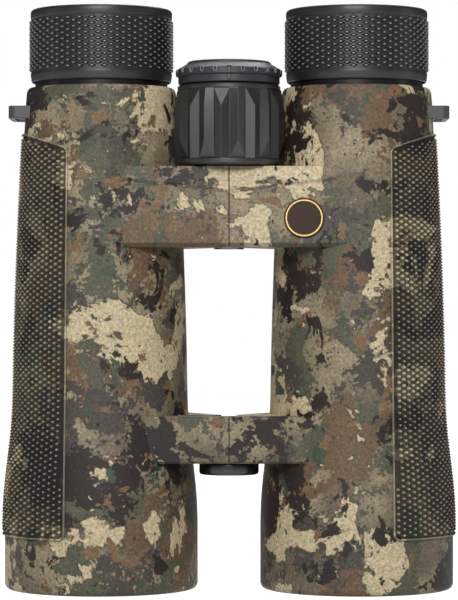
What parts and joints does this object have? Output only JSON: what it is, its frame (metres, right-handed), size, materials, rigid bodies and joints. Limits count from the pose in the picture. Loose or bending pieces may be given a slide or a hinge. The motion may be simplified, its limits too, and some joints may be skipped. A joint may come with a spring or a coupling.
{
  "type": "binoculars",
  "caption": "Open-bridge roof-prism binoculars in camouflage rubber armour, with folding barrels, centre focusing, diopter ring and twist-up eyecups.",
  "frame": {"origin": "on the ground midway between the two objective rims, under the middle of the bounding box", "axes": "+Z from the objectives to the eyecups, +X towards the barrel with the badge (the right one in the picture), and the user's top side faces -Y"},
  "size_m": [0.1338, 0.057, 0.1706],
  "materials": {
    "camo_rubber": "matte moulded rubber with a mottled tan, brown and grey print",
    "camo_grip_rubber": "matte rubber with raised dots and the same print",
    "black_rubber": "matte moulded rubber",
    "black_plastic": "satin moulded plastic",
    "gloss_black_plastic": "semi-gloss moulded plastic",
    "grey_plastic": "satin moulded plastic",
    "black_alloy": "satin black paint on cast light alloy",
    "black_anodised": "black anodised",
    "bare_aluminium": "machined",
    "steel": "turned and ground",
    "brass": "turned",
    "bronze_badge": "satin bronze tone",
    "coated_glass": "polished, with a green anti-reflection coating",
    "prism_glass": "polished"
  },
  "bodies": {
    "left_barrel": {"left_optics_tube": "black_alloy", "left_armor": "camo_rubber", "left_grip_panel": "camo_grip_rubber", "left_upper_cover": "camo_rubber", "left_lower_cover": "camo_rubber", "left_upper_arm": "black_alloy", "left_lower_arm": "black_alloy", "left_strap_lug": "grey_plastic", "left_objective_ring": "black_anodised", "left_objective_cell": "black_anodised", "left_front_lens": "coated_glass", "left_rear_lens": "coated_glass", "left_prism_cage": "black_plastic", "left_prisms": "prism_glass", "left_field_stop": "black_anodised", "left_eyepiece_barrel": "black_anodised", "left_eyepiece_lenses": "coated_glass", "left_eye_lens": "coated_glass", "left_eyepiece_seal": "black_rubber", "upper_hinge_tube": "steel", "hinge_bushes": "brass", "lower_hinge_pin": "steel", "tripod_socket": "brass"},
    "right_barrel": {"right_optics_tube": "black_alloy", "right_armor": "camo_rubber", "right_grip_panel": "camo_grip_rubber", "right_upper_cover": "camo_rubber", "right_lower_cover": "camo_rubber", "right_upper_arm": "black_alloy", "right_lower_arm": "black_alloy", "right_strap_lug": "grey_plastic", "right_objective_ring": "black_anodised", "right_objective_cell": "black_anodised", "right_front_lens": "coated_glass", "right_rear_lens": "coated_glass", "right_prism_cage": "black_plastic", "right_prisms": "prism_glass", "right_field_stop": "black_anodised", "right_eyepiece_barrel": "black_anodised", "right_eyepiece_lenses": "coated_glass", "right_eye_lens": "coated_glass", "right_eyepiece_seal": "black_rubber", "blank_badge": "bronze_badge"},
    "focus_knob": {"focus_screw": "steel", "focus_knob_core": "black_plastic", "focus_knob_grip": "black_rubber"},
    "diopter": {"diopter_ring": "black_plastic", "diopter_cap": "gloss_black_plastic"},
    "carriage": {"focus_carriage": "brass"},
    "left_focus": {"left_focus_cell": "bare_aluminium", "left_focus_lens": "coated_glass"},
    "right_focus": {"right_focus_cell": "bare_aluminium", "right_focus_lens": "coated_glass"},
    "left_click": {"left_click_ring": "black_plastic"},
    "right_click": {"right_click_ring": "black_plastic"},
    "left_eyecup": {"left_eyecup_sleeve": "black_plastic", "left_eyecup_rubber": "black_rubber"},
    "right_eyecup": {"right_eyecup_sleeve": "black_plastic", "right_eyecup_rubber": "black_rubber"},
    "socket_cap": {"socket_cap": "gloss_black_plastic"}
  },
  "joints": [
    {"name": "interpupillary_fold", "type": "hinge", "parent": "left_barrel", "child": "right_barrel", "pos_m": [0, -0.01164, 0.0446], "axis": [0, 0, 1], "range_deg": [0, 48]},
    {"name": "focus_turn", "type": "hinge", "parent": "left_barrel", "child": "focus_knob", "pos_m": [0, -0.01164, 0.1361], "axis": [0, 0, 1], "range_deg": [-270, 270]},
    {"name": "diopter_turn", "type": "hinge", "parent": "focus_knob", "child": "diopter", "pos_m": [0, -0.01164, 0.1509], "axis": [0, 0, 1], "range_deg": [-30, 30]},
    {"name": "carriage_slide", "type": "slide", "parent": "left_barrel", "child": "carriage", "axis": [0, 0, 1], "range_m": [-0.0025, 0.0025]},
    {"name": "left_focus_slide", "type": "slide", "parent": "carriage", "child": "left_focus", "axis": [0, 0, 1], "range_m": [-0.0006, 0.0006]},
    {"name": "right_focus_slide", "type": "slide", "parent": "right_barrel", "child": "right_focus", "axis": [0, 0, 1], "range_m": [-0.0025, 0.0025]},
    {"name": "left_eyecup_turn", "type": "hinge", "parent": "left_barrel", "child": "left_click", "pos_m": [-0.03775, 0, 0.157], "axis": [0, 0, 1], "range_deg": [0, 220]},
    {"name": "left_eyecup_lift", "type": "slide", "parent": "left_click", "child": "left_eyecup", "axis": [0, 0, 1], "range_m": [0, 0.009]},
    {"name": "right_eyecup_turn", "type": "hinge", "parent": "right_barrel", "child": "right_click", "pos_m": [0.03775, 0, 0.157], "axis": [0, 0, 1], "range_deg": [0, 220]},
    {"name": "right_eyecup_lift", "type": "slide", "parent": "right_click", "child": "right_eyecup", "axis": [0, 0, 1], "range_m": [0, 0.009]},
    {"name": "socket_cap_off", "type": "slide", "parent": "left_barrel", "child": "socket_cap", "axis": [0, 0, -1], "range_m": [0, 0.02]}
  ],
  "couplings": [
    {"joint": "focus_turn", "follows": "carriage_slide", "rad_per_m": 1884.9},
    {"joint": "right_focus_slide", "follows": "carriage_slide", "ratio": 1},
    {"joint": "diopter_turn", "follows": "left_focus_slide", "rad_per_m": 872.6},
    {"joint": "left_eyecup_turn", "follows": "left_eyecup_lift", "rad_per_m": 426.6},
    {"joint": "right_eyecup_turn", "follows": "right_eyecup_lift", "rad_per_m": 426.6}
  ]
}
